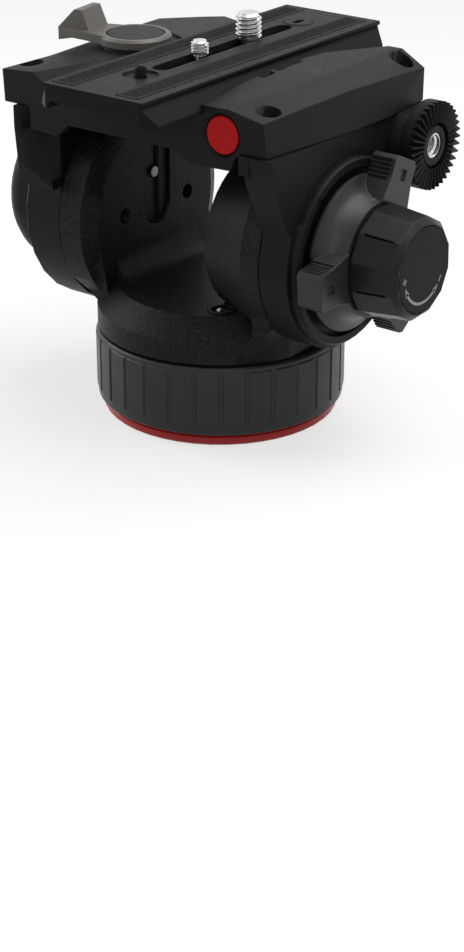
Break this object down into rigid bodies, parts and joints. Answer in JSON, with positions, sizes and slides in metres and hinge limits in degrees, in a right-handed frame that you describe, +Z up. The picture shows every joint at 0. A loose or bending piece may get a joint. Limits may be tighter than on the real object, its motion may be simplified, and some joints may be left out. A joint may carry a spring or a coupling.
{
  "type": "fluid video head",
  "caption": "Fluid head that pans on a round base and tilts a platform between a yoke's arms, with a sliding camera plate, a drag knob, a winged lock ring and toothed rosettes.",
  "frame": {"origin": "centre of the base's lower face, on the pan axis, where the tripod's 3/8 inch screw enters", "axes": "+Z up along the pan axis, -Y towards the lens side, +X towards the drag knob along the tilt axis"},
  "size_m": [0.1697, 0.14, 0.144],
  "materials": {
    "black_casting": "fine black powder coat on cast aluminium",
    "grey_casting": "satin dark grey coat on cast aluminium",
    "plate_black": "black anodised",
    "black_plastic": "matt moulded plastic",
    "black_steel": "black oxide",
    "red_paint": "satin red",
    "titanium_grey": "satin titanium grey paint",
    "steel": "bright zinc",
    "aluminium": "turned aluminium",
    "bronze": "sintered bronze",
    "grip_rubber": "ribbed grip rubber",
    "vial_glass": "clear vial with green fluid"
  },
  "bodies": {
    "base": {"base_housing": "black_casting", "red_trim_ring": "red_paint", "tripod_bush": "steel", "pan_spindle": "steel", "adapter_ring": "black_plastic", "adapter_insert": "aluminium", "adapter_set_screw": "steel"},
    "pan_drag": {"pan_drag_ring": "black_plastic"},
    "yoke": {"yoke_frame": "black_casting", "pan_rotor": "aluminium", "pan_bearing": "bronze", "level_cup": "black_plastic", "level_vial": "vial_glass", "slot_screw": "steel", "axle_bush": "bronze", "tilt_fluid_cup": "aluminium"},
    "pan_lock": {"pan_lock_knob": "black_plastic"},
    "tilt_head": {"left_cheek": "black_casting", "right_cheek": "black_casting", "left_cap": "black_plastic", "tilt_axle": "steel", "counterbalance_spring": "steel", "tilt_rotor": "aluminium", "right_rosette": "black_casting", "right_rosette_nut": "steel", "left_rosette": "black_casting", "left_rosette_nut": "steel", "platform_body": "grey_casting", "badge_disc": "red_paint", "casing_screw_front_right": "black_steel", "casing_screw_rear_right": "black_steel", "casing_screw_front_left": "black_steel", "casing_screw_rear_left": "black_steel", "lever_post": "steel"},
    "tilt_lock": {"tilt_lock_ring": "black_plastic"},
    "tilt_drag": {"tilt_drag_knob": "black_plastic", "knob_face_disc": "black_plastic"},
    "lever": {"clamp_lever": "titanium_grey", "lever_cap": "black_plastic"},
    "jaw": {"clamp_jaw": "aluminium"},
    "plate": {"camera_plate": "plate_black", "grip_strip_left": "grip_rubber", "grip_strip_right": "grip_rubber", "plate_end_bush": "black_plastic"},
    "slider_large": {"washer_large": "black_plastic"},
    "screw_large": {"camera_screw_large": "steel"},
    "slider_small": {"washer_small": "black_plastic"},
    "screw_small": {"camera_screw_small": "steel"},
    "pin": {"video_pin": "black_plastic"}
  },
  "joints": [
    {"name": "pan", "type": "hinge", "parent": "base", "child": "yoke", "pos_m": [0, 0, 0.0323], "axis": [0, 0, 1], "continuous": true},
    {"name": "pan_drag_turn", "type": "hinge", "parent": "base", "child": "pan_drag", "pos_m": [0, 0, 0.018], "axis": [0, 0, 1], "range_deg": [-120, 120]},
    {"name": "pan_lock_turn", "type": "hinge", "parent": "yoke", "child": "pan_lock", "pos_m": [0, 0.048, 0.0396], "axis": [0, 1, 0], "range_deg": [0, 90]},
    {"name": "tilt", "type": "hinge", "parent": "yoke", "child": "tilt_head", "pos_m": [0, 0, 0.0712], "axis": [1, 0, 0], "range_deg": [-70, 75]},
    {"name": "tilt_lock_turn", "type": "hinge", "parent": "tilt_head", "child": "tilt_lock", "pos_m": [0.0645, 0, 0.0712], "axis": [1, 0, 0], "range_deg": [0, 40]},
    {"name": "tilt_drag_turn", "type": "hinge", "parent": "tilt_head", "child": "tilt_drag", "pos_m": [0.078, 0, 0.0712], "axis": [1, 0, 0], "range_deg": [-150, 150]},
    {"name": "lever_turn", "type": "hinge", "parent": "tilt_head", "child": "lever", "pos_m": [-0.0387, 0, 0.131], "axis": [0, 0, 1], "range_deg": [0, 90]},
    {"name": "jaw_slide", "type": "slide", "parent": "tilt_head", "child": "jaw", "axis": [-1, 0, 0], "range_m": [0, 0.0015]},
    {"name": "plate_slide", "type": "slide", "parent": "tilt_head", "child": "plate", "axis": [0, 1, 0], "range_m": [-0.025, 0.025]},
    {"name": "screw_large_slide", "type": "slide", "parent": "plate", "child": "slider_large", "axis": [0, 1, 0], "range_m": [-0.007, 0.019]},
    {"name": "screw_large_turn", "type": "hinge", "parent": "slider_large", "child": "screw_large", "pos_m": [-0.0014, 0.0189, 0.13], "axis": [0, 0, 1], "continuous": true},
    {"name": "screw_small_slide", "type": "slide", "parent": "plate", "child": "slider_small", "axis": [0, 1, 0], "range_m": [-0.02, 0.007]},
    {"name": "screw_small_turn", "type": "hinge", "parent": "slider_small", "child": "screw_small", "pos_m": [-0.0014, -0.0097, 0.13], "axis": [0, 0, 1], "continuous": true},
    {"name": "pin_press", "type": "slide", "parent": "plate", "child": "pin", "axis": [0, 0, -1], "range_m": [0, 0.003], "stiffness_N_per_m": 200, "springref_m": -0.003}
  ],
  "couplings": [
    {"joint": "jaw_slide", "follows": "lever_turn", "m_per_rad": 0.00095}
  ]
}
